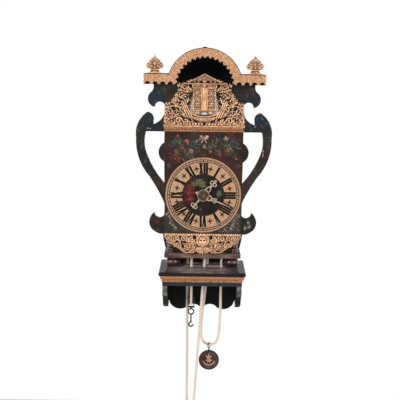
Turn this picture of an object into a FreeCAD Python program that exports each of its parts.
import FreeCAD, Part
import math
import os

V = FreeCAD.Vector
os.makedirs("parts", exist_ok=True)

# A bracket wall clock: a carved board with a hood above and a shelf below, and on the shelf a posted
# movement with two rope-driven trains. All sizes are millimetres. Heights are measured up from the
# shelf's top, depths forward from the wall, and the finished parts are moved so that the hanging
# hole is the origin: +X to the viewer's right, +Y into the wall, +Z up.

# Sizes of the wall bracket
hang_hole = 9.0
plate_thick = 3.0
plate_width = 26.0
board_thick = 18.0
board_wide = 133.0
roof_thick = 6.0
arch_radius = 93.0
arch_height = 466.0
hang_drop = 18.0
hang_height = arch_height + arch_radius - hang_drop
shoulder_height = 495.5
hood_half = 149.0
hood_depth = 178.0
fascia_thick = 8.0
fascia_deep = 25.5
strip_thick = 1.2
tooth_deep = 7.0
arch_teeth = 17
shoulder_teeth = 4
shelf_half = 110.0
shelf_depth = 174.0
shelf_thick = 10.0
moulding_high = 15.0
moulding_out = 5.5
rail_low = 35.5
rail_thick = 12.0
cheek_half = 100.8
cheek_thick = 12.0
cheek_low = 118.0

# Sizes of the movement's frame
foot_high = 27.0
foot_radius = 18.5
foot_neck = 12.0
foot_inset = 22.0
foot_depths = (64.0, 102.0)
base_half = 98.0
foot_half = base_half - foot_inset
base_thick = 12.0
base_back = 46.0
base_front = 122.0
top_low = 352.0
top_thick = 11.0
rail_over = 2.0
rail_half = base_half + rail_over
rail_proud = 6.0
pillar_inset = 16.0
pillar_half = base_half - pillar_inset
pillar_depths = (54.0, 106.0)
pillar_radius = 6.5
bar_wide = 24.0
bar_thick = 4.0
front_bar_back = 110.0
middle_bar_back = 80.0
rear_bar_back = 48.0
dial_half = base_half
dial_low = 91.5
dial_gap = 0.5
dial_high = top_low - dial_gap
dial_back = 124.0
dial_thick = 1.5
ring_radius = 97.5
ring_inner = 52.5
ring_thick = 1.0
dial_centre = 191.0
fret_thick = 3.0
crest_high = 133.5
apron_high = 58.0
bell_radius = 42.0
bell_high = bell_radius * 1.55
bell_wall = 2.5
hammer_aside = 50.0
hammer_rise = 36.0
hammer_thick = 4.0
hammer_head = 6.0
bell_clear = 31.0
bell_rim = top_low + top_thick + bell_clear

# Sizes of the trains: tooth counts, modules and arbor thickness
great_teeth = 72
second_teeth = 60
pinion_leaves = 6
escape_teeth = 33
great_module = 1.1
second_module = 1.0
drive_teeth = 36
drive_distance = 60.0
cannon_teeth = 12
minute_teeth = 36
minute_leaves = 10
hour_teeth = 40
motion_distance = 36.0
strike_teeth = 78
hoop_teeth = 48
warning_teeth = 42
count_teeth = 36
strike_module = 1.0
hoop_module = 1.0
warning_module = 0.9
count_module = 1.2
wheel_thick = 2.4
motion_thick = 1.8
arbor_radius = 1.5
pivot_radius = 1.2
run_gap = 0.05
seat_gap = 0.02
side_gap = 0.3
escape_radius = 18.0
pallet_rise = 26.0
pendulum_length = 205.4
bob_radius = 16.0
crutch_drop = 62.0
hour_long = 52.0
alarm_radius = 12.4
minute_long = 78.0
hour_thick = 1.4
hour_angle = 40.0
minute_angle = 113.0

# Sizes of the ropes and pulleys
rope = 6.2
going_sheave = 19.0
strike_sheave = 27.0
alarm_sheave_radius = 13.0
sheave_wide = 13.0
going_x = 31.0
strike_x = -12.0
alarm_x = -28.0
alarm_depth = 78.0
alarm_height = 84.0
alarm_pulley_height = -92.0
alarm_link = 27.0
weight_pulley_height = -398.0
disc_radius = 27.0
disc_thick = 9.0


def pt(x, depth, height):
    return V(x, -depth, height)


def block(x0, x1, d0, d1, z0, z1):
    return Part.makeBox(x1 - x0, d1 - d0, z1 - z0, pt(x0, d1, z0))


def rod(x, z, radius, d0, d1):
    """A cylinder that runs from front to back."""
    return Part.makeCylinder(radius, d1 - d0, pt(x, d1, z), V(0, 1, 0))


def post(x, depth, radius, z0, z1):
    """An upright cylinder."""
    return Part.makeCylinder(radius, z1 - z0, pt(x, depth, z0))


def fused(shapes):
    whole = shapes[0].multiFuse(shapes[1:])
    return whole.removeSplitter()


def edge_of(start, step, place):
    """A line to the step's point, or an arc through its first point to its second one."""
    if len(step) == 2:
        return Part.LineSegment(place(*start), place(*step)).toShape()
    return Part.Arc(place(*start), place(*step[:2]), place(*step[2:])).toShape()


def outline(start, steps, place):
    edges = []
    here = start
    for step in steps:
        edges.append(edge_of(here, step, place))
        here = step[-2:]
    if math.dist(here, start) > 1e-6:
        edges.append(edge_of(here, start, place))
    return Part.Wire(edges)


def upright(x, z):
    return V(x, 0, z)


def sideways(depth, z):
    return V(0, -depth, z)


def slab(wire, d0, d1):
    """An upright outline in the front view, between two depths."""
    face = Part.Face(wire)
    face.translate(pt(0, d1, 0))
    return face.extrude(V(0, d1 - d0, 0))


def slab_x(wire, x0, x1):
    """An outline in the side view, between two places across."""
    face = Part.Face(wire)
    face.translate(V(x0, 0, 0))
    return face.extrude(V(x1 - x0, 0, 0))


def mirrored(start, steps):
    """The steps of a right half, from the middle line to the middle line, with the left half after them."""
    ends = [start] + [step[-2:] for step in steps]
    back = []
    for number in reversed(range(len(steps))):
        step = steps[number]
        x, z = ends[number]
        if len(step) == 2:
            back.append((-x, z))
        else:
            back.append((-step[0], step[1], -x, z))
    return steps + back


def turned(start, steps):
    """A profile of (radius, height) turned about the upright axis."""
    face = Part.Face(outline(start, steps, upright))
    return face.revolve(V(0, 0, 0), V(0, 0, 1), 360)


def laid_back(shape, x, z):
    """A turned shape with its axis laid along the depth, so that its heights become depths."""
    shape.rotate(V(0, 0, 0), V(1, 0, 0), 90)
    shape.translate(V(x, 0, z))
    return shape


def save(name, *solids):
    shape = solids[0] if len(solids) == 1 else Part.makeCompound(list(solids))
    shape = shape.copy()
    shape.translate(V(0, 0, -hang_height))
    shape.exportStep("parts/" + name + ".step")
    print(name, len(shape.Solids), round(shape.Volume, 1), shape.isValid())


# The backboard, with its ears, side arms and scalloped foot
roof_inner = arch_radius - roof_thick
shoulder_under = shoulder_height - roof_thick
spring_x = math.sqrt(roof_inner**2 - (shoulder_under - arch_height) ** 2)
half_turn = math.asin(spring_x / roof_inner) / 2
half_x = roof_inner * math.sin(half_turn)
half_rise = roof_inner * math.cos(half_turn)
board_top = arch_height + roof_inner
board_steps = [
    (half_x, arch_height + half_rise, spring_x, shoulder_under),
    (board_wide, shoulder_under),
    (board_wide, 462),
    (134.5, 453, 139, 447),
    (148, 431, 130, 407.6),
    (117, 421.5, 102.7, 409),
    (109, 381, 133.6, 362),
    (132.7, 376),
    (138, 389, 150, 394),
    (171, 371, 178.6, 328),
    (171, 273, 142.5, 224),
    (123, 193, 107, 163),
    (102, 146, 103, 128),
    (110, 113.5, 121, 114),
    (127, 118.5, 129.5, 126.6),
    (142.9, 103, 127, 76),
    (117, 71, 106, 70),
    (101, 40, 91, 10),
    (90, -shelf_thick),
    (cheek_half - 2, -shelf_thick),
    (cheek_half - 2, -104),
    (88, -112),
    (85, -121),
    (64, -135.5, 41, -131),
    (23, -121.8, 0, -138),
]
board = slab(outline((0, board_top), mirrored((0, board_top), board_steps), upright), 0, board_thick)
arm_gap_steps = [
    (104, 343.6),
    (104, 314),
    (119, 290, 104, 264),
    (103, 205),
    (133, 246, 154, 293),
    (156.8, 318, 153, 343.6),
]
for side in (1, -1):
    gap = outline((153 * side, 343.6), [tuple(v * side if i % 2 == 0 else v for i, v in enumerate(s))
                                         for s in arm_gap_steps], upright)
    board = board.cut(slab(gap, -1, board_thick + 1))
plate_low = hang_height - 36.0
plate_top = arch_height + arch_radius + 6.0
plate_half = plate_width / 2
recess_half = plate_half + side_gap
recess = block(-recess_half, recess_half, -1, plate_thick + side_gap, plate_low - side_gap, plate_top)
board = board.cut(recess).cut(rod(0, hang_height, hang_hole, 0, plate_thick + 8))
save("backboard", board.removeSplitter())

# The iron plate that the clock hangs by, screwed into the back of the board
plate_side = plate_top - plate_half
plate_wire = outline(
    (-plate_half, plate_low),
    [(plate_half, plate_low), (plate_half, plate_side), (0, plate_top, -plate_half, plate_side)],
    upright,
)
hanging_plate = slab(plate_wire, 0, plate_thick)
hanging_plate = hanging_plate.cut(rod(0, hang_height, hang_hole / 2, -1, plate_thick + 1))
save("hanging_plate", hanging_plate)

# The hood: a bent roof on the board's top edge, a fascia under its front and a toothed gilt strip


def hood_line(offset):
    """The arch's radius, the shoulder's level and where they meet, this far inside the hood's outer line."""
    radius = arch_radius - offset
    level = shoulder_height - offset
    meet = math.sqrt(radius**2 - (level - arch_height) ** 2)
    return radius, level, meet


def arch_band(outer, inner, end):
    """The closed outline between two such lines, with straight ends."""
    radius_o, level_o, meet_o = hood_line(outer)
    radius_i, level_i, meet_i = hood_line(inner)
    steps = [
        (-meet_o, level_o),
        (0, arch_height + radius_o, meet_o, level_o),
        (end, level_o),
        (end, level_i),
        (meet_i, level_i),
        (0, arch_height + radius_i, -meet_i, level_i),
        (-end, level_i),
    ]
    return outline((-end, level_o), steps, upright)


fascia_front = hood_depth
fascia_back = hood_depth - fascia_thick
roof = slab(arch_band(0, roof_thick, hood_half), plate_thick + 1, hood_depth)
save("hood_roof", roof)
fascia = arch_band(roof_thick, fascia_deep, hood_half)
save("hood_fascia", slab(fascia, fascia_back, fascia_front))
strip_outer = 1.5
radius_v, level_v = hood_line(fascia_deep - tooth_deep)[:2]
radius_t, level_t = hood_line(fascia_deep)[:2]
radius_s, level_s, meet_s = hood_line(strip_outer)
jamb = math.sqrt(radius_v**2 - (level_t - arch_height) ** 2)
spread = math.asin(jamb / radius_v)
pitch = (hood_half - jamb) / shoulder_teeth
notch_half = pitch * 0.33


def notched(middles):
    """Flat teeth with a round notch at each of these places, from right to left."""
    steps = []
    for x in middles:
        steps.append((x + notch_half, level_t))
        steps.append((x, level_v, x - notch_half, level_t))
    return steps


arch_edge = []
for number in range(arch_teeth):
    turn = spread * (1 - 2 * number / arch_teeth)
    half = spread * (1 - 2 * (number + 0.5) / arch_teeth)
    arch_edge.append((radius_v * math.sin(turn), arch_height + radius_v * math.cos(turn)))
    arch_edge.append((radius_t * math.sin(half), arch_height + radius_t * math.cos(half)))
notches = [hood_half - pitch * (number + 0.5) for number in range(shoulder_teeth)]
strip_steps = [(-meet_s, level_s), (0, arch_height + radius_s, meet_s, level_s)]
strip_steps += [(hood_half, level_s), (hood_half, level_t)] + notched(notches) + arch_edge
strip_steps += [(-jamb, level_t)] + notched([-x for x in reversed(notches)]) + [(-hood_half, level_t)]
strip = slab(outline((-hood_half, level_s), strip_steps, upright), hood_depth, hood_depth + strip_thick)
save("hood_gilt_strip", strip)

# The two cast flower baskets on the hood's shoulders
finial_x = 122.0
finial_base = 13.0
finial_wide = 23.0
finial_high = 46.0
finials = []
for side in (1, -1):
    steps = [
        (finial_base, 0),
        (finial_base - 1, 5),
        (9, 9, 13, 14),
        (finial_wide, 19, finial_wide - 2, 27),
        (17, 31),
        (17, 37, 9, 37),
        (4, 38),
        (3, 42, 0, finial_high),
    ]
    wire = outline((0, 0), mirrored((0, 0), steps), upright)
    basket = slab(wire, hood_depth - 1 - fret_thick, hood_depth - 1)
    for hole_x, hole_z in ((-12, 24), (12, 24), (-5, 31), (5, 31), (0, 11)):
        basket = basket.cut(rod(hole_x, hole_z, 1.8, hood_depth - 10, hood_depth + 1))
    basket.translate(V(side * finial_x, 0, shoulder_height))
    finials.append(basket)
save("hood_finials", *finials)

# The shelf with its rope slots, the gilt moulding, the rail and the two cheeks below
slot_rear = (52.0, 70.0)
slot_front = (86.0, 104.0)
slot_left = -48.0
slot_right = 60.0


def slotted(board_shape, z0, z1):
    for d0, d1 in (slot_rear, slot_front):
        board_shape = board_shape.cut(block(slot_left, slot_right, d0, d1, z0 - 1, z1 + 1))
    return board_shape


shelf = block(-shelf_half, shelf_half, board_thick, shelf_depth, -shelf_thick, 0)
nosing = [e for e in shelf.Edges if abs(e.CenterOfMass.z + shelf_thick / 2) < shelf_thick
          and e.BoundBox.ZLength < 0.1 and e.CenterOfMass.y < -board_thick - 1]
shelf = shelf.makeFillet(shelf_thick * 0.35, nosing)
save("shelf_board", slotted(shelf, -shelf_thick, 0))

rail_front = shelf_depth - moulding_out - 1.0
moulding_low = -shelf_thick - moulding_high
profile = [
    (moulding_out, -shelf_thick),
    (moulding_out, -shelf_thick - 2),
    (moulding_out - 0.4, -shelf_thick - 6, moulding_out / 2, -shelf_thick - 8),
    (1.4, moulding_low + 5, 1.0, moulding_low + 2.5),
    (1.8, moulding_low + 2.5),
    (1.8, moulding_low),
    (0, moulding_low),
]
reach = 400.0
front_wire = outline((0, -shelf_thick), profile, lambda out, z: V(0, -rail_front - out, z))
front_length = slab_x(front_wire, -reach, reach)
side_wire = outline((0, -shelf_thick), profile, lambda out, z: V(cheek_half + out, 0, z))
side_face = Part.Face(side_wire)
side_face.translate(pt(0, reach, 0))
side_length = side_face.extrude(V(0, reach - board_thick, 0))
corner = V(cheek_half, -rail_front, 0)


def mitre(points):
    wire = Part.makePolygon([V(x, y, -200) for x, y in points + points[:1]])
    return Part.Face(wire).extrude(V(0, 0, 400))


ahead = 60.0
front_zone = mitre([
    (corner.x, corner.y), (corner.x + ahead, corner.y - ahead),
    (-corner.x - ahead, corner.y - ahead), (-corner.x, corner.y),
])
side_zone = mitre([
    (corner.x, corner.y), (corner.x + ahead, corner.y - ahead),
    (corner.x + ahead, 0), (corner.x, 0),
])
side_moulding = side_length.common(side_zone)
mouldings = [front_length.common(front_zone), side_moulding, side_moulding.mirror(V(0, 0, 0), V(1, 0, 0))]
save("shelf_moulding", *mouldings)

rail = block(-cheek_half, cheek_half, rail_front - rail_thick, rail_front, -rail_low, -shelf_thick)
save("shelf_rail", rail)
cheek_front = rail_front - rail_thick
cheek_steps = [
    (cheek_front, -shelf_thick),
    (cheek_front, -64),
    (cheek_front - 9, -68),
    (cheek_front - 22, -74, cheek_front - 34, -86),
    (cheek_front - 50, -102, cheek_front - 78, -104),
    (cheek_front - 84, -104),
    (cheek_front - 90, -cheek_low + 4, board_thick + 20, -cheek_low),
    (board_thick, -cheek_low),
]
cheek_wire = outline((board_thick, -shelf_thick), cheek_steps, sideways)
save("cheek_left", slab_x(cheek_wire, -cheek_half, -cheek_half + cheek_thick))
save("cheek_right", slab_x(cheek_wire, cheek_half - cheek_thick, cheek_half))

# The movement's frame: bun feet, two boards, turned pillars and three bars
foot_steps = [
    (foot_radius / 2, 0),
    (foot_radius / 2, 2),
    (foot_radius * 0.85, foot_high * 0.21, foot_radius, foot_high * 0.5),
    (foot_radius * 0.9, foot_high * 0.75, foot_neck, foot_high - 3),
    (foot_neck, foot_high),
    (0, foot_high),
]
feet = []
for x in (-foot_half, foot_half):
    for depth in foot_depths:
        foot = turned((0, 0), foot_steps)
        foot.translate(pt(x, depth, 0))
        feet.append(foot)
save("movement_feet", *feet)

base_top = foot_high + base_thick
base = block(-base_half, base_half, base_back, base_front, foot_high, base_top)
upper_edges = [e for e in base.Edges if abs(e.CenterOfMass.z - base_top) < 0.1]
save("bottom_board", slotted(base.makeFillet(3.0, upper_edges), foot_high, base_top))
top_high = top_low + top_thick
top_board = block(-base_half, base_half, base_back, base_front, top_low, top_high)

span = top_low - base_top
pillar_steps = [
    (pillar_radius * 1.5, 0),
    (pillar_radius * 1.5, 6),
    (pillar_radius * 1.6, 10, pillar_radius, 14),
    (pillar_radius, 22),
    (pillar_radius * 1.7, 27, pillar_radius, 32),
    (pillar_radius * 1.05, span / 2, pillar_radius * 0.8, span - 32),
    (pillar_radius * 1.5, span - 27, pillar_radius * 0.9, span - 22),
    (pillar_radius * 0.9, span - 14),
    (pillar_radius * 1.6, span - 10, pillar_radius * 1.5, span - 6),
    (pillar_radius * 1.5, span),
    (0, span),
]
pillars = []
for x in (-pillar_half, pillar_half):
    for depth in pillar_depths:
        pillar = turned((0, 0), pillar_steps)
        pillar.translate(pt(x, depth, base_top))
        pillars.append(pillar)
save("pillars", *pillars)

rail_steps = [
    (rail_proud, top_high),
    (rail_proud, top_high - top_thick * 0.2),
    (rail_proud - 1.5, top_high - top_thick * 0.45, 2.5, top_high - top_thick * 0.6),
    (2, top_low + top_thick * 0.22),
    (4, top_low + top_thick * 0.22),
    (4, top_low),
    (0, top_low),
]
crest_rail_wire = outline((0, top_high), rail_steps, lambda out, z: V(0, -base_front - out, z))
save("crest_rail", slab_x(crest_rail_wire, -rail_half, rail_half))

# Where the arbors stand in the front view
great_at = (going_x, dial_centre - math.sqrt(drive_distance**2 - going_x**2))
great_mesh = (great_teeth + pinion_leaves) * great_module / 2
second_x = 5.0
second_at = (second_x, great_at[1] + math.sqrt(great_mesh**2 - (great_at[0] - second_x) ** 2))
second_mesh = (second_teeth + pinion_leaves) * second_module / 2
escape_at = (0.0, second_at[1] + math.sqrt(second_mesh**2 - second_x**2))
pallet_at = (0.0, escape_at[1] + pallet_rise)
centre_at = (0.0, dial_centre)
stud_at = (-motion_distance, dial_centre)
strike_at = (strike_x, great_at[1])
hoop_at = (strike_x, strike_at[1] + (strike_teeth + pinion_leaves) * strike_module / 2)
warning_at = (strike_x, hoop_at[1] + (hoop_teeth + pinion_leaves) * hoop_module / 2)
fly_mesh = (warning_teeth + pinion_leaves) * warning_module / 2
fly_at = (warning_at[0] - fly_mesh * 0.7, warning_at[1] + fly_mesh * math.sqrt(1 - 0.49))
count_at = (strike_x - (count_teeth + pinion_leaves) * count_module / 2, strike_at[1])
hammer_at = (-hammer_aside, strike_at[1] + hammer_rise)


def bar(back, holes):
    """An upright strap between the two boards, with an arm and a boss for each hole (x, z, radius)."""
    front = back + bar_thick
    shapes = [block(-bar_wide / 2, bar_wide / 2, back, front, base_top, top_low)]
    for x, z, radius in holes:
        shapes.append(rod(x, z, radius + 5, back, front))
        if abs(x) > bar_wide / 2:
            shapes.append(block(min(0, x), max(0, x), back, front, z - 4, z + 4))
    whole = fused(shapes)
    for x, z, radius in holes:
        whole = whole.cut(rod(x, z, radius, back - 1, front + 1))
    return whole


pivot_hole = pivot_radius + run_gap
journal = 2.5
journal_hole = journal + run_gap
front_bar_front = front_bar_back + bar_thick
middle_bar_front = middle_bar_back + bar_thick
rear_bar_front = rear_bar_back + bar_thick
stud_radius = 2.0
front_bar = bar(front_bar_back, [
    (*great_at, journal_hole), (*second_at, pivot_hole), (*escape_at, pivot_hole), (*pallet_at, pivot_hole),
    (*centre_at, journal_hole), (*stud_at, stud_radius + seat_gap),
])
middle_bar = bar(middle_bar_back, [
    (*great_at, pivot_hole), (*second_at, pivot_hole), (*escape_at, pivot_hole), (*pallet_at, 4.0),
    (*strike_at, pivot_hole), (*hoop_at, pivot_hole), (*warning_at, pivot_hole), (*fly_at, pivot_hole),
    (*hammer_at, pivot_hole),
])
save("middle_bar", middle_bar)
rear_bar = bar(rear_bar_back, [
    (*strike_at, journal_hole), (*hoop_at, pivot_hole), (*warning_at, pivot_hole), (*fly_at, pivot_hole),
    (*hammer_at, pivot_hole), (*pallet_at, pivot_hole), (*count_at, stud_radius + seat_gap),
])

# Toothed wheels: straight flanks below the pitch circle and pointed tips above it


def toothed(count, module, share, addendum, dedendum, centre, phase):
    """The outline of a wheel with one tooth centred on the phase angle, all flat sided."""
    pitch = count * module / 2
    half = share * math.pi / count
    spots = []
    for number in range(count):
        turn = phase + 2 * math.pi * number / count
        spots.append((pitch - dedendum * module, turn - half))
        spots.append((pitch, turn - half))
        spots.append((pitch + addendum * module, turn))
        spots.append((pitch, turn + half))
        spots.append((pitch - dedendum * module, turn + half))
    points = [(centre[0] + r * math.cos(a), centre[1] + r * math.sin(a)) for r, a in spots]
    return outline(points[0], points[1:], upright)


def wheel_wire(count, module, centre, phase):
    return toothed(count, module, 0.44, 0.95, 1.1, centre, phase)


def pinion_wire(count, module, centre, phase):
    return toothed(count, module, 0.36, 0.55, 1.2, centre, phase)


def toward(start, end):
    return math.atan2(end[1] - start[1], end[0] - start[0])


def wheel(count, module, centre, partner, d0, bore, spokes, rim_wide=2.5):
    """A crossed-out wheel whose tooth points at its partner's centre."""
    d1 = d0 + wheel_thick
    shape = slab(wheel_wire(count, module, centre, toward(centre, partner)), d0, d1)
    rim = count * module / 2 - 1.1 * module - rim_wide
    hub = bore + 4.5
    if spokes and rim - hub > 4:
        ring = rod(*centre, rim, d0 - 1, d1 + 1).cut(rod(*centre, hub, d0 - 2, d1 + 2))
        for number in range(spokes):
            arm = block(-2.2, 2.2, d0 - 2, d1 + 2, 0, rim + 2)
            arm.rotate(V(0, 0, 0), V(0, 1, 0), 360.0 * number / spokes)
            arm.translate(V(centre[0], 0, centre[1]))
            ring = ring.cut(arm)
        shape = shape.cut(ring)
    return shape.cut(rod(*centre, bore + seat_gap, d0 - 1, d1 + 1))


def leaves(count, module, centre, partner, d0, d1):
    """A pinion with a gap that faces its partner's centre."""
    phase = toward(centre, partner) + math.pi / count
    return slab(pinion_wire(count, module, centre, phase), d0, d1)


def arbor(centre, rear, front):
    """An arbor between two bars, with a pivot through each of them."""
    shaft = rod(*centre, arbor_radius, rear + bar_thick + side_gap, front - side_gap)
    pivots = rod(*centre, pivot_radius, rear, front + bar_thick)
    return shaft.fuse(pivots)


def sheave(radius, middle, bore, x, z):
    """A rope sheave whose V groove carries a rope with its centre at this radius."""
    half = sheave_wide / 2
    bottom = radius - rope / 2 - 0.8
    lip = radius + 3.5
    steps = [
        (lip, middle - half),
        (lip, middle - half + 0.9),
        (bottom, middle - 2.4),
        (bottom, middle + 2.4),
        (lip, middle + half - 0.9),
        (lip, middle + half),
        (bore + seat_gap, middle + half),
    ]
    return laid_back(turned((bore + seat_gap, middle - half), steps), x, z)


# The going train: great wheel with its sheave, second wheel, escape wheel
going_rope_depth = 96.0
great_depth = going_rope_depth + sheave_wide / 2 + 1.5
drive_depth = front_bar_front + 0.6
great_arbor = fused([
    rod(*great_at, journal, middle_bar_front + side_gap, drive_depth + wheel_thick + 0.5),
    rod(*great_at, pivot_radius, middle_bar_back, middle_bar_front + 1),
])
save("going_great_arbor", great_arbor)
save("going_great_wheel", wheel(great_teeth, great_module, great_at, second_at, great_depth, journal, 4))
save("going_sheave", sheave(going_sheave, going_rope_depth, journal, *great_at))
drive_module = drive_distance / drive_teeth
save("going_drive_wheel", wheel(drive_teeth, drive_module, great_at, centre_at, drive_depth, journal, 4))

second_depth = middle_bar_front + 1.2
second_arbor = arbor(second_at, middle_bar_back, front_bar_back)
second_leaves = leaves(
    pinion_leaves, great_module, second_at, great_at, great_depth - 1.5,
    great_depth + wheel_thick + 1.5,
)
second_arbor = second_arbor.fuse(second_leaves)
save("second_wheel", second_arbor.removeSplitter(),
     wheel(second_teeth, second_module, second_at, escape_at, second_depth, arbor_radius, 4))

escape_depth = 98.0
escape_arbor = arbor(escape_at, middle_bar_back, front_bar_back)
escape_leaves = leaves(
    pinion_leaves, second_module, escape_at, second_at, second_depth - 0.6,
    second_depth + wheel_thick + 2,
)
escape_arbor = escape_arbor.fuse(escape_leaves)
escape_points = []
for number in range(escape_teeth):
    turn = 2 * math.pi * number / escape_teeth
    lean = 2 * math.pi / escape_teeth
    escape_points.append((escape_radius, turn))
    escape_points.append((escape_radius - 3.2, turn + 0.3 * lean))
    escape_points.append((escape_radius - 3.2, turn + 0.8 * lean))
escape_points = [(escape_at[0] + r * math.cos(a), escape_at[1] + r * math.sin(a)) for r, a in escape_points]
escape_disc = slab(outline(escape_points[0], escape_points[1:], upright), escape_depth, escape_depth + 1.6)
for number in range(5):
    turn = 2 * math.pi * number / 5
    hole = (escape_at[0] + 9 * math.cos(turn), escape_at[1] + 9 * math.sin(turn))
    escape_disc = escape_disc.cut(rod(*hole, 3.6, escape_depth - 1, escape_depth + 3))
escape_disc = escape_disc.cut(rod(*escape_at, arbor_radius + seat_gap, escape_depth - 1, escape_depth + 3))
save("escape_wheel", escape_arbor.removeSplitter(), escape_disc)

# The anchor with its arbor and crutch, and the pendulum on its cock behind the rear bar
pallet_gap = 0.6
anchor_depth = escape_depth - 1.0
anchor_thick = 3.6
cock_depth = 30.0
crutch_depth = 38.0
reach_angle = math.radians(52)
nib = escape_radius + pallet_gap
nib_x = nib * math.sin(reach_angle)
nib_z = escape_at[1] + nib * math.cos(reach_angle)
anchor_steps = [
    (6, pallet_at[1] + 2, nib_x + 5, nib_z + 7),
    (nib_x + 4.5, nib_z + 1),
    (nib_x + 0.3, nib_z + 0.6),
    (nib_x - 1, nib_z + 7, 5, pallet_at[1] - 4),
    (0, pallet_at[1] - 5),
]
anchor_top = (0, pallet_at[1] + 5)
anchor_wire = outline(anchor_top, mirrored(anchor_top, anchor_steps), upright)
anchor = slab(anchor_wire, anchor_depth, anchor_depth + anchor_thick)
crutch_low = pallet_at[1] - crutch_drop
rod_wide = 2.5
crutch = block(-2, 2, crutch_depth, crutch_depth + 2, crutch_low, pallet_at[1])
fork = []
for side in (-1, 1):
    tine = side * (rod_wide + 1.2)
    fork.append(block(tine - 1, tine + 1, cock_depth - 1, crutch_depth + 2, crutch_low, crutch_low + 4))
bridge = block(-rod_wide - 2.2, rod_wide + 2.2, crutch_depth, crutch_depth + 2, crutch_low, crutch_low + 4)
pallet_arbor = fused([
    rod(*pallet_at, arbor_radius, rear_bar_front + side_gap, front_bar_back - side_gap),
    rod(*pallet_at, pivot_radius, crutch_depth, front_bar_front),
])
anchor = anchor.cut(rod(*pallet_at, arbor_radius + seat_gap, anchor_depth - 1, anchor_depth + 9))
crutch = fused([rod(*pallet_at, 4, crutch_depth, crutch_depth + 2), crutch, bridge] + fork)
crutch = crutch.cut(rod(*pallet_at, pivot_radius + seat_gap, crutch_depth - 1, crutch_depth + 3))
save("anchor", pallet_arbor, anchor, crutch)

cock_pin = 1.5
eye_radius = 4.5
bob_height = pallet_at[1] - pendulum_length
eye = rod(*pallet_at, eye_radius, cock_depth - 1.5, cock_depth + 1.5)
eye = eye.cut(rod(*pallet_at, cock_pin + run_gap, cock_depth - 3, cock_depth + 3))
stem_low = bob_height - bob_radius - 9
stem_high = pallet_at[1] - eye_radius + 0.5
stem = block(-rod_wide, rod_wide, cock_depth - 0.8, cock_depth + 0.8, stem_low, stem_high)
save("pendulum_rod", eye.fuse(stem).removeSplitter())
bob_profile = [
    (0, 7.5),
    (bob_radius * 0.75, 6, bob_radius, 0),
    (bob_radius * 0.75, -6, 0, -7.5),
]
bob = laid_back(turned((0, 7.5), bob_profile[1:]), 0, bob_height)
bob.translate(pt(0, cock_depth, 0))
channel_half = rod_wide + seat_gap
channel_deep = 0.8 + seat_gap
channel = block(-channel_half, channel_half, cock_depth - channel_deep, cock_depth + channel_deep,
                bob_height - 40, bob_height + 40)
rating_nut = Part.makeCylinder(5, 4, pt(0, cock_depth, bob_height - bob_radius - 4.2)).cut(channel)
save("pendulum_bob", bob.cut(channel), rating_nut)

cock_arm = fused([
    block(-5, 5, cock_depth - 6, rear_bar_back, pallet_at[1] + 9, pallet_at[1] + 13),
    block(-5, 5, cock_depth - 6, cock_depth - 3.5, pallet_at[1] - 4, pallet_at[1] + 13),
    block(-8, 8, rear_bar_back - 2.5, rear_bar_back, pallet_at[1] + 9, pallet_at[1] + 28),
    rod(*pallet_at, cock_pin, cock_depth - 6, cock_depth + 3),
])
save("pendulum_cock", cock_arm)

# The motion work behind the dial, and the hands in front of it
cannon_module = 2 * motion_distance / (cannon_teeth + minute_teeth)
hour_module = 2 * motion_distance / (minute_leaves + hour_teeth)
cannon_depth = drive_depth + wheel_thick + 0.5
hour_depth = cannon_depth + motion_thick + 0.4
minute_thick = 1.3
ring_front = dial_back + dial_thick + ring_thick
disc_back = ring_front + 0.5
hour_back = disc_back + 2.2
minute_back = hour_back + 3.0
pipe_radius = 5.0
centre_arbor = fused([
    rod(*centre_at, journal, front_bar_back, minute_back + minute_thick + 4),
    leaves(cannon_teeth, cannon_module, centre_at, stud_at, cannon_depth, cannon_depth + motion_thick),
    rod(*centre_at, 5, minute_back + minute_thick + 0.5, minute_back + minute_thick + 3),
])
save("centre_arbor", centre_arbor)
centre_wheel = slab(pinion_wire(drive_teeth, drive_module, centre_at,
                                toward(centre_at, great_at) + math.pi / drive_teeth),
                    drive_depth, drive_depth + wheel_thick)
centre_wheel = centre_wheel.cut(rod(*centre_at, journal + seat_gap, drive_depth - 1, drive_depth + 9))
for number in range(6):
    turn = 2 * math.pi * number / 6
    hole = (centre_at[0] + 16 * math.cos(turn), centre_at[1] + 16 * math.sin(turn))
    centre_wheel = centre_wheel.cut(rod(*hole, 6, drive_depth - 1, drive_depth + 9))
save("centre_wheel", centre_wheel)

stud_end = hour_depth + motion_thick + side_gap
stud = rod(*stud_at, stud_radius, front_bar_back, stud_end)
stud_cap = rod(*stud_at, stud_radius + 1.5, stud_end, stud_end + 0.8)
save("front_bar", front_bar, stud.fuse(stud_cap).removeSplitter())
minute_wheel = slab(wheel_wire(minute_teeth, cannon_module, stud_at, toward(stud_at, centre_at)),
                    cannon_depth, cannon_depth + motion_thick)
minute_wheel = minute_wheel.fuse(leaves(minute_leaves, hour_module, stud_at, centre_at,
                                        cannon_depth + motion_thick, hour_depth + motion_thick))
minute_wheel = minute_wheel.cut(rod(*stud_at, stud_radius + run_gap, cannon_depth - 1, hour_depth + 9))
save("minute_wheel", minute_wheel.removeSplitter())
hour_wheel = slab(wheel_wire(hour_teeth, hour_module, centre_at, toward(centre_at, stud_at)),
                  hour_depth, hour_depth + motion_thick)
hour_wheel = hour_wheel.fuse(rod(*centre_at, pipe_radius, hour_depth, hour_back + 2.2))
hour_wheel = hour_wheel.cut(rod(*centre_at, journal + run_gap, hour_depth - 1, hour_back + 9))
save("hour_wheel", hour_wheel.removeSplitter())

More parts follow.
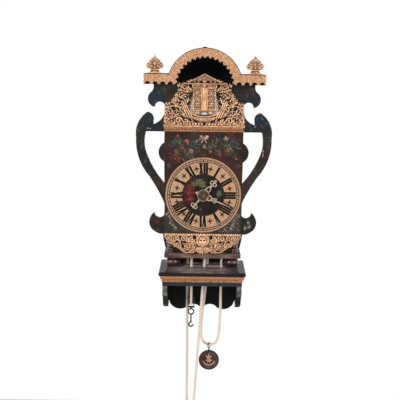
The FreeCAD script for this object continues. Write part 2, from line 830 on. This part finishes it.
dial = block(-dial_half, dial_half, dial_back, dial_back + dial_thick, dial_low, dial_high)
dial_posts = [rod(0, z, 4, front_bar_front, dial_back + 0.5) for z in (dial_low + 8, dial_high - 20)]
dial = fused([dial] + dial_posts).cut(rod(*centre_at, pipe_radius + 0.4, dial_back - 1, dial_back + 4))
save("dial_plate", dial)
ring = rod(*centre_at, ring_radius, dial_back + dial_thick, ring_front)
save("chapter_ring", ring.cut(rod(*centre_at, ring_inner, dial_back, ring_front + 1)))
alarm_disc = rod(*centre_at, alarm_radius, disc_back, disc_back + 1.2)
alarm_disc = alarm_disc.fuse(rod(*centre_at, pipe_radius + 4, dial_back + dial_thick + 0.2, disc_back + 1.2))
alarm_disc = alarm_disc.cut(rod(*centre_at, pipe_radius + run_gap, dial_back, disc_back + 9))
save("alarm_disc", alarm_disc.removeSplitter())


def hand_parts(back, shapes, bore, angle):
    """A flat hand that points up, bored for its pipe and turned clockwise to its angle."""
    whole = fused(shapes)
    whole = whole.cut(rod(0, 0, bore + seat_gap, back - 1, back + 9))
    whole.rotate(V(0, 0, 0), V(0, 1, 0), angle)
    whole.translate(V(centre_at[0], 0, centre_at[1]))
    return whole


def eyelet(x, z, outer, inner, back, front):
    return rod(x, z, outer, back, front).cut(rod(x, z, inner, back - 1, front + 1))


def arrow(unit, start, steps, back, front):
    """A pointed leaf of a hand, its half outline given in units of the hand's size."""
    begin = tuple(value * unit for value in start)
    sized = [tuple(value * unit for value in step) for step in steps]
    return slab(outline(begin, mirrored(begin, sized), upright), back, front)


hour_front = hour_back + hour_thick
unit = hour_long / 49
waist = 2.0 * unit
neck = arrow(unit, (0, 12.6), [(6.6, 12.6), (6.4, 20), (2.6, 28), (2.6, 33), (0, 33)], hour_back, hour_front)
neck_slot = arrow(unit, (0, 15.4), [(3.6, 15.4), (3.5, 19.5), (0, 25)], hour_back - 1, hour_front + 1)
loops = []
for loop_z in (37 * unit, -33 * unit):
    for loop_x in (-4.3 * unit, 4.3 * unit):
        loops.append(eyelet(loop_x, loop_z, 5.2 * unit, 2.6 * unit, hour_back, hour_front))
hour_hand = hand_parts(hour_back, loops + [
    rod(0, 0, 6.2 * unit, hour_back, hour_front),
    eyelet(0, 0, 14.6 * unit, 11.8 * unit, hour_back, hour_front),
    block(-waist / 2, waist / 2, hour_back, hour_front, 5.4 * unit, 12.8 * unit),
    block(-waist / 2, waist / 2, hour_back, hour_front, -12.8 * unit, -5.4 * unit),
    neck.cut(neck_slot),
    arrow(unit, (0, 38), [(2.6, 40), (3.4, 44, 0, 49)], hour_back, hour_front),
    block(-waist, waist, hour_back, hour_front, -30 * unit, -13 * unit),
    arrow(unit, (0, -33), [(2.8, -35.5), (0, -40.5)], hour_back, hour_front),
], pipe_radius, hour_angle)
save("hour_hand", hour_hand)
minute_front = minute_back + minute_thick
unit = minute_long / 78
minute_hand = hand_parts(minute_back, [
    rod(0, 0, 6.5 * unit, minute_back, minute_front),
    block(-1.8 * unit, 1.8 * unit, minute_back, minute_front, 5.5 * unit, 10 * unit),
    eyelet(0, 16 * unit, 7.8 * unit, 4.6 * unit, minute_back, minute_front),
    eyelet(0, 27 * unit, 5.0 * unit, 2.2 * unit, minute_back, minute_front),
    eyelet(-3.6 * unit, 33 * unit, 3.4 * unit, 1.5 * unit, minute_back, minute_front),
    eyelet(3.6 * unit, 33 * unit, 3.4 * unit, 1.5 * unit, minute_back, minute_front),
    arrow(unit, (0, 30.5), [(2.2, 32.5), (1.4, 60), (0, 78)], minute_back, minute_front),
    arrow(unit, (0, -5), [(2.0, -6), (3.5, -18, 0, -22)], minute_back, minute_front),
], journal, minute_angle)
save("minute_hand", minute_hand)

# The strike train: great wheel with lifting pins, hoop wheel, warning wheel, fly and count wheel
strike_rope_depth = 61.0
strike_depth = strike_rope_depth + sheave_wide / 2 + 1.5
pin_count = 13
pin_rim = 6.0
pin_circle = strike_teeth * strike_module / 2 - 1.1 * strike_module - pin_rim / 2
count_depth = 38.0
strike_arbor = fused([
    rod(*strike_at, journal, count_depth + 0.4, middle_bar_back - side_gap),
    rod(*strike_at, pivot_radius, middle_bar_back - 1, middle_bar_front),
    leaves(pinion_leaves, count_module, strike_at, count_at, count_depth, rear_bar_back - 1.5),
])
strike_wheel = wheel(strike_teeth, strike_module, strike_at, hoop_at, strike_depth, journal, 4, pin_rim)
pins = []
for number in range(pin_count):
    turn = 2 * math.pi * (number + 0.5) / pin_count
    spot = (strike_at[0] + pin_circle * math.cos(turn), strike_at[1] + pin_circle * math.sin(turn))
    pins.append(rod(*spot, 1.5, strike_depth + wheel_thick - 1, strike_depth + wheel_thick + 4))
save("strike_great_wheel", strike_arbor, fused([strike_wheel] + pins))
save("strike_sheave", sheave(strike_sheave, strike_rope_depth, journal, *strike_at))

hoop_depth = middle_bar_back - 1.0 - wheel_thick
hoop_arbor = arbor(hoop_at, rear_bar_back, middle_bar_back)
hoop_leaves = leaves(
    pinion_leaves, strike_module, hoop_at, strike_at, strike_depth - 1,
    strike_depth + wheel_thick + 1,
)
hoop_arbor = hoop_arbor.fuse(hoop_leaves)
save("hoop_wheel", hoop_arbor.removeSplitter(),
     wheel(hoop_teeth, hoop_module, hoop_at, warning_at, hoop_depth, arbor_radius, 4))
warning_depth = 62.0
warning_arbor = arbor(warning_at, rear_bar_back, middle_bar_back)
warning_arbor = warning_arbor.fuse(
    leaves(pinion_leaves, hoop_module, warning_at, hoop_at, hoop_depth - 1.5, middle_bar_back - 0.6))
save("warning_wheel", warning_arbor.removeSplitter(),
     wheel(warning_teeth, warning_module, warning_at, fly_at, warning_depth, arbor_radius, 4))
fly_arbor = arbor(fly_at, rear_bar_back, middle_bar_back)
fly_leaves = leaves(
    pinion_leaves, warning_module, fly_at, warning_at, warning_depth - 1,
    warning_depth + wheel_thick + 1,
)
fly_arbor = fly_arbor.fuse(fly_leaves)
vane_half = 14.0
vane = block(-vane_half, vane_half, 67, 76, -0.4, 0.4)
vane = vane.fuse(rod(0, 0, arbor_radius + 1.2, 67, 76)).cut(rod(0, 0, arbor_radius + seat_gap, 60, 80))
vane.rotate(V(0, 0, 0), V(0, 1, 0), 25)
vane.translate(V(fly_at[0], 0, fly_at[1]))
save("strike_fly", fly_arbor.removeSplitter(), vane.removeSplitter())

count_gear = slab(wheel_wire(count_teeth, count_module, count_at, toward(count_at, strike_at)),
                  count_depth + 2.5, count_depth + 2.5 + wheel_thick)
count_plate_radius = count_teeth * count_module / 2 + 7
count_plate = rod(*count_at, count_plate_radius, count_depth - 1.5, count_depth - 0.5)
blows = 0
for hour in range(1, 13):
    blows = blows + hour
    notch = block(-0.7, 0.7, count_depth - 3, count_depth + 1, count_plate_radius - 3, count_plate_radius + 3)
    notch.rotate(V(0, 0, 0), V(0, 1, 0), 360.0 * blows / 78)
    notch.translate(V(count_at[0], 0, count_at[1]))
    count_plate = count_plate.cut(notch)
count_wheel = fused([count_gear, count_plate, rod(*count_at, 6, count_depth - 1.5, rear_bar_back - 1)])
count_wheel = count_wheel.cut(rod(*count_at, stud_radius + run_gap, count_depth - 5, rear_bar_back + 1))
save("count_wheel", count_wheel)
count_stud = rod(*count_at, stud_radius, count_depth - 2.2, rear_bar_front)
count_cap = rod(*count_at, stud_radius + 1.8, count_depth - 3.2, count_depth - 2.2)
save("rear_bar", rear_bar, count_stud.fuse(count_cap).removeSplitter())

# The bell on its stand over the top board, and the hammer that reaches it through a slot
hammer_depth = strike_depth + wheel_thick + 1.0
head_x = -bell_radius - 1.0 - hammer_head
head_z = bell_rim + hammer_head
arm_half = hammer_thick * 0.375
tail_turn = toward(hammer_at, strike_at)
tail_long = math.dist(hammer_at, strike_at) - pin_circle - 1.5 - 0.8
hammer_front = hammer_depth + hammer_thick
tail = block(0, tail_long, hammer_depth, hammer_depth + hammer_thick * 0.75, -arm_half, arm_half)
tail.rotate(V(0, 0, 0), V(0, 1, 0), -math.degrees(tail_turn))
tail.translate(V(hammer_at[0], 0, hammer_at[1]))
hammer = fused([
    rod(*hammer_at, arbor_radius, rear_bar_front + side_gap, middle_bar_back - side_gap),
    rod(*hammer_at, pivot_radius, rear_bar_back, middle_bar_front),
    rod(*hammer_at, hammer_thick, hammer_depth, hammer_front),
    tail,
    block(hammer_at[0] - arm_half, hammer_at[0] + arm_half, hammer_depth, hammer_front, hammer_at[1], head_z),
    rod(head_x, head_z, hammer_head, hammer_depth - hammer_head, hammer_front + hammer_head),
])
save("bell_hammer", hammer)
bell_depth = hammer_depth + hammer_thick / 2
hammer_left = hammer_at[0] - 26
hammer_right = hammer_at[0] + 4
hammer_slot = block(hammer_left, hammer_right, hammer_depth - 2, hammer_front + 2, top_low - 1, top_high + 1)
save("top_board", top_board.cut(hammer_slot))

inner = bell_radius - bell_wall
bell_steps = [
    (bell_radius, 0),
    (bell_radius * 0.93, bell_high * 0.25, bell_radius * 0.84, bell_high * 0.55),
    (bell_radius * 0.55, bell_high * 0.87, 5, bell_high),
    (5, bell_high + 2),
    (3.05, bell_high + 2),
    (3.05, bell_high - bell_wall),
    (bell_radius * 0.55 - bell_wall * 0.7, bell_high * 0.87 - bell_wall * 0.7,
     bell_radius * 0.84 - bell_wall, bell_high * 0.55),
    (bell_radius * 0.93 - bell_wall, bell_high * 0.25, inner, 0),
]
bell = turned((inner, 0), bell_steps)
bell.translate(pt(0, bell_depth, bell_rim))
save("bell", bell)
nut_low = bell_rim + bell_high + 2
stand = fused([
    post(0, bell_depth, 12, top_high, top_high + 3),
    post(0, bell_depth, 4, top_high, bell_rim + bell_high - bell_wall),
    post(0, bell_depth, 3, top_high, nut_low + 8),
    post(0, bell_depth, 6, nut_low, nut_low + 5),
])
save("bell_stand", stand)

# The pierced crest above the rail and the pierced apron under the dial
crest_low = top_high
crest_back = base_front - 1.0
crest_half = rail_half + 2.0
crest_steps = [
    (crest_half, 0),
    (crest_half, 6),
    (crest_half * 0.975, crest_high * 0.3, crest_half * 0.975, crest_high * 0.45),
    (crest_half * 0.92, crest_high * 0.52, crest_half * 0.83, crest_high * 0.5),
    (crest_half * 0.83, crest_high * 0.58, crest_half * 0.7, crest_high * 0.6),
    (crest_half * 0.7, crest_high * 0.7, crest_half * 0.66, crest_high * 0.79),
    (crest_half * 0.57, crest_high * 0.86, crest_half * 0.45, crest_high * 0.84),
    (crest_half * 0.41, crest_high * 0.9, crest_half * 0.37, crest_high * 0.89),
    (0, crest_high),
]
crest = slab(outline((0, 0), mirrored((0, 0), crest_steps), upright), crest_back, crest_back + fret_thick)
crest_holes = [
    (92, 13, 5.5), (90, 31, 6.5), (75, 12, 6), (73.5, 30, 7), (76, 50, 6), (88.5, 50, 3.2),
    (58, 12, 6), (56, 32, 8), (60, 52, 7), (58, 74, 6), (72, 70, 4), (40, 12, 6), (40, 30, 6), (44, 72, 6),
    (50, 92, 6), (30, 90, 6), (36, 106, 4.5), (12, 100, 5), (18, 114, 4), (42, 50, 5),
]
for hole_x, hole_z, hole_radius in crest_holes:
    for side in (1, -1):
        hole = rod(side * hole_x, hole_z, hole_radius, crest_back - 1, crest_back + fret_thick + 1)
        crest = crest.cut(hole)
crest.translate(V(0, 0, crest_low))
save("crest_fret", crest)

apron_top = dial_centre - ring_radius - side_gap
apron_back = dial_back + dial_thick
apron_half = dial_half - 3.0
apron_steps = [
    (apron_half, 0),
    (apron_half, -8),
    (apron_half - 4, -22, apron_half - 16, -22),
    (apron_half - 20, -36, apron_half - 34, -37),
    (apron_half - 42, -48, apron_half - 56, -47),
    (26, -55, 18, -53),
    (8, -54, 0, -apron_high),
]
apron = slab(outline((0, 0), mirrored((0, 0), apron_steps), upright), apron_back, apron_back + fret_thick)
apron_holes = [
    (84, -13, 5), (68, -14, 6), (66, -29, 4), (50, -14, 6), (50, -32, 6), (34, -16, 6),
    (33, -36, 6), (22, -28, 3.5),
]
for hole_x, hole_z, hole_radius in apron_holes:
    for side in (1, -1):
        hole = rod(side * hole_x, hole_z, hole_radius, apron_back - 1, apron_back + fret_thick + 1)
        apron = apron.cut(hole)
apron.translate(V(0, 0, apron_top))
save("apron_fret", apron)

# Pulleys, each made with its axle along X and its middle at the origin


def wire_rod(edges, start, direction, radius):
    """A round bar along joined edges."""
    ring_wire = Part.Wire(Part.Circle(start, direction, radius).toShape())
    return Part.Wire(edges).makePipeShell([ring_wire], True, False)


def pulley(radius, link):
    """A grooved wheel, and its iron block with the axle and a hook below, on a ring if a link is given."""
    axle = 2.5
    half = sheave_wide / 2
    grooved = sheave(radius, 0, axle + run_gap - seat_gap, 0, 0)
    grooved.rotate(V(0, 0, 0), V(0, 0, 1), 90)
    lip = radius + 3.5
    low = -lip - 4
    inside = half + 0.6
    outside = inside + 2
    shapes = [Part.makeCylinder(axle, 2 * outside, V(-outside, 0, 0), V(1, 0, 0))]
    for x in (-outside, inside):
        wire = outline((-5, low), [(5, low), (7, 0), (0, 7, -7, 0)], sideways)
        shapes.append(slab_x(wire, x, x + 2))
    shapes.append(block(-outside, outside, -5, 5, low - 2.5, low))
    top = low - 2.5
    hook_radius = 5.5
    bar_radius = 1.8
    bend = top - 14 - link
    shank = Part.makeCylinder(bar_radius, top + 1 - bend, V(0, 0, bend))
    bow = Part.makeTorus(hook_radius, bar_radius, V(0, 0, bend - hook_radius), V(0, 1, 0))
    mouth = Part.makeBox(hook_radius * 2, 20, hook_radius, V(0.2, -10, bend - hook_radius))
    if link > 0:
        ring = link * 0.27
        ring_at = V(0, 0, top - 4 - ring)
        shank = shank.cut(Part.makeCylinder(ring, 10, ring_at.add(V(0, -5, 0)), V(0, 1, 0)))
        shapes.append(Part.makeTorus(ring, bar_radius, ring_at, V(0, 1, 0)))
    shapes.extend(shank.Solids)
    shapes.append(bow.cut(mouth))
    return grooved, fused(shapes)


# The ropes: straight runs joined by tangent arcs through the points of a route


def route_edges(points):
    edges = []
    here = points[0]
    radii = []
    for before, corner_point, after in zip(points, points[1:], points[2:]):
        back = before.sub(corner_point)
        ahead_v = after.sub(corner_point)
        short = min(back.Length, ahead_v.Length)
        half_bend = (math.pi - back.getAngle(ahead_v)) / 2
        cut = 0.45 * short
        radii.append(cut / math.tan(half_bend))
        u = V(back).normalize()
        w = V(ahead_v).normalize()
        first = corner_point.add(V(u).multiply(cut))
        last = corner_point.add(V(w).multiply(cut))
        inward = V(u).add(w).normalize()
        centre_far = radii[-1] / math.cos(half_bend)
        middle = corner_point.add(V(inward).multiply(centre_far - radii[-1]))
        edges.append(Part.LineSegment(here, first).toShape())
        edges.append(Part.Arc(first, middle, last).toShape())
        here = last
    edges.append(Part.LineSegment(here, points[-1]).toShape())
    return edges, radii


def rope_along(name, points):
    edges, radii = route_edges(points)
    long = sum(e.Length for e in edges)
    tube = wire_rod(edges, points[0], points[1].sub(points[0]), rope / 2)
    print(name, "radii", [round(r) for r in radii], "length", round(long, 1),
          "volume ratio", round(tube.Volume / (math.pi * rope**2 / 4 * long), 4))
    save(name, tube)


def wrap(centre, radius, depth, side):
    """Route points from a sheave's top round a quarter turn, to the left or the right side."""
    far = radius / math.cos(math.radians(22.5))
    spots = [(0, radius)]
    for turn in (22.5, 67.5):
        spots.append((side * far * math.sin(math.radians(turn)), far * math.cos(math.radians(turn))))
    return [pt(centre[0] + x, depth, centre[1] + z) for x, z in spots]


def under(centre, across, radius):
    """Route points round the lower half of a pulley, whose plane runs along a level direction."""
    far = radius / math.cos(math.radians(22.5))
    spots = []
    for turn in (-67.5, -22.5, 22.5, 67.5):
        side = far * math.sin(math.radians(turn))
        spots.append(centre.add(V(across).multiply(side)).add(V(0, 0, -far * math.cos(math.radians(turn)))))
    return spots


weight_left = pt(strike_x - strike_sheave + 2, strike_rope_depth, weight_pulley_height)
weight_right = pt(-20.0, going_rope_depth, weight_pulley_height)
weight_centre = weight_left.add(weight_right).multiply(0.5)
weight_across = weight_right.sub(weight_left).normalize()
weight_grip = weight_right.sub(weight_left).Length / 2
strand_low = -20.0
weight_route = wrap(strike_at, strike_sheave, strike_rope_depth, -1)
weight_route.append(pt(strike_x - strike_sheave, strike_rope_depth, strand_low))
weight_route.extend(under(weight_centre, weight_across, weight_grip))
weight_route.append(pt(going_x - going_sheave, going_rope_depth, great_at[1] - 37))
weight_route.extend(reversed(wrap(great_at, going_sheave, going_rope_depth, -1)))
rope_along("rope_weight_loop", weight_route)

loop_low = -216.0
loop_left = pt(-2, 68, loop_low)
loop_right = pt(44, 89, loop_low)
loop_across = loop_right.sub(loop_left).normalize()
loop_grip = loop_right.sub(loop_left).Length / 2
loop_at = loop_left.add(loop_right).multiply(0.5)
counter_route = wrap(strike_at, strike_sheave, strike_rope_depth, 1)
counter_route.append(pt(strike_x + strike_sheave, strike_rope_depth, strand_low))
counter_route.append(pt(0, 64, -150))
counter_route.extend(under(loop_at.add(V(0, 0, loop_grip)), loop_across, loop_grip))
counter_route.append(pt(49, going_rope_depth, -150))
counter_route.append(pt(going_x + going_sheave, going_rope_depth, 40))
counter_route.extend(reversed(wrap(great_at, going_sheave, going_rope_depth, 1)))
rope_along("rope_counter_loop", counter_route)

alarm_centre = pt(alarm_x, alarm_depth, alarm_height)
alarm_pulley_centre = pt(alarm_x, alarm_depth, alarm_pulley_height)
toward_front = V(0, -1, 0)
alarm_over = []
for turn in (0, 22.5, 67.5):
    grip = alarm_sheave_radius / (1 if turn == 0 else math.cos(math.radians(22.5)))
    alarm_over.append((grip * math.sin(math.radians(turn)), grip * math.cos(math.radians(turn))))
alarm_route = [pt(alarm_x, alarm_depth - side, alarm_height + z) for side, z in alarm_over]
alarm_route.append(pt(alarm_x + 0.4, alarm_depth - alarm_sheave_radius - 0.4, 10))
alarm_route.extend(under(alarm_pulley_centre, toward_front, alarm_sheave_radius))
alarm_route.append(pt(alarm_x - 0.4, alarm_depth + alarm_sheave_radius + 0.4, 10))
alarm_route.extend(pt(alarm_x, alarm_depth + side, alarm_height + z) for side, z in reversed(alarm_over))
alarm_route[-1] = alarm_route[-1].add(pt(0, 0.6, 0))
rope_along("rope_alarm", alarm_route)

weight_turn = math.degrees(math.atan2(weight_across.y, weight_across.x)) + 90
weight_wheel, weight_block = pulley(weight_grip, 0)
for shape in (weight_wheel, weight_block):
    shape.rotate(V(0, 0, 0), V(0, 0, 1), weight_turn)
    shape.translate(weight_centre)
save("weight_pulley", weight_wheel)
save("weight_pulley_block", weight_block)
alarm_wheel, alarm_block = pulley(alarm_sheave_radius, alarm_link)
for shape in (alarm_wheel, alarm_block):
    shape.translate(alarm_pulley_centre)
save("alarm_pulley", alarm_wheel)
save("alarm_pulley_block", alarm_block)

# The alarm's sheave on its arbor across the movement, in an iron bracket on the bottom board
cheek_in = sheave_wide / 2 + 0.6
cheek_out = cheek_in + 3
bracket = fused([
    block(alarm_x - cheek_out, alarm_x - cheek_in, 71, 85, base_top, alarm_height + 6),
    block(alarm_x + cheek_in, alarm_x + cheek_out, 71, 85, base_top, alarm_height + 6),
    block(alarm_x - cheek_out, alarm_x + cheek_out, 71, 85, base_top, base_top + 2),
])
alarm_hole = Part.makeCylinder(pivot_radius + run_gap, 60, alarm_centre.add(V(-30, 0, 0)), V(1, 0, 0))
save("alarm_bracket", bracket.cut(alarm_hole))
alarm_sheave = sheave(alarm_sheave_radius, 0, pivot_radius, 0, 0)
alarm_sheave.rotate(V(0, 0, 0), V(0, 0, 1), 90)
alarm_sheave.translate(alarm_centre)
arbor_end = alarm_centre.add(V(-cheek_out, 0, 0))
alarm_arbor = Part.makeCylinder(pivot_radius, 2 * cheek_out, arbor_end, V(1, 0, 0))
save("alarm_sheave", alarm_sheave, alarm_arbor)

# The counterweight disc and the wire loop that it hangs by
loop_turn = math.degrees(math.atan2(loop_across.y, loop_across.x))
ring_major = 7.0
ring_minor = 1.2
ring_drop = ring_major - ring_minor - rope / 2 - side_gap
disc_at = loop_at.add(V(0, 0, -ring_drop - ring_major - 6 - disc_radius))
disc_steps = [
    (disc_radius - 1, -disc_thick / 2),
    (disc_radius, 0, disc_radius - 1, disc_thick / 2),
    (disc_radius - 3.5, disc_thick / 2 - 0.2),
    (disc_radius - 5, disc_thick / 2 - 2),
    (disc_radius - 9, disc_thick / 2 - 2),
    (disc_radius - 10, disc_thick / 2 - 0.8),
    (disc_radius - 12, disc_thick / 2 - 2),
    (0, disc_thick / 2 - 2),
]
disc = laid_back(turned((0, -disc_thick / 2), disc_steps), 0, 0)
disc.translate(disc_at)
shank_top = loop_at.z - ring_drop - ring_major
shank_low = disc_at.z + disc_radius - 8
disc = disc.cut(Part.makeCylinder(1.6 + seat_gap, 20, V(loop_at.x, loop_at.y, shank_low)))
eye_ring = Part.makeTorus(ring_major, ring_minor, V(0, 0, -ring_drop), V(1, 0, 0))
eye_ring.rotate(V(0, 0, 0), V(0, 0, 1), loop_turn)
eye_ring.translate(loop_at)
shank = Part.makeCylinder(1.6, shank_top - shank_low, V(loop_at.x, loop_at.y, shank_low))
save("counterweight", disc, eye_ring.fuse(shank).removeSplitter())
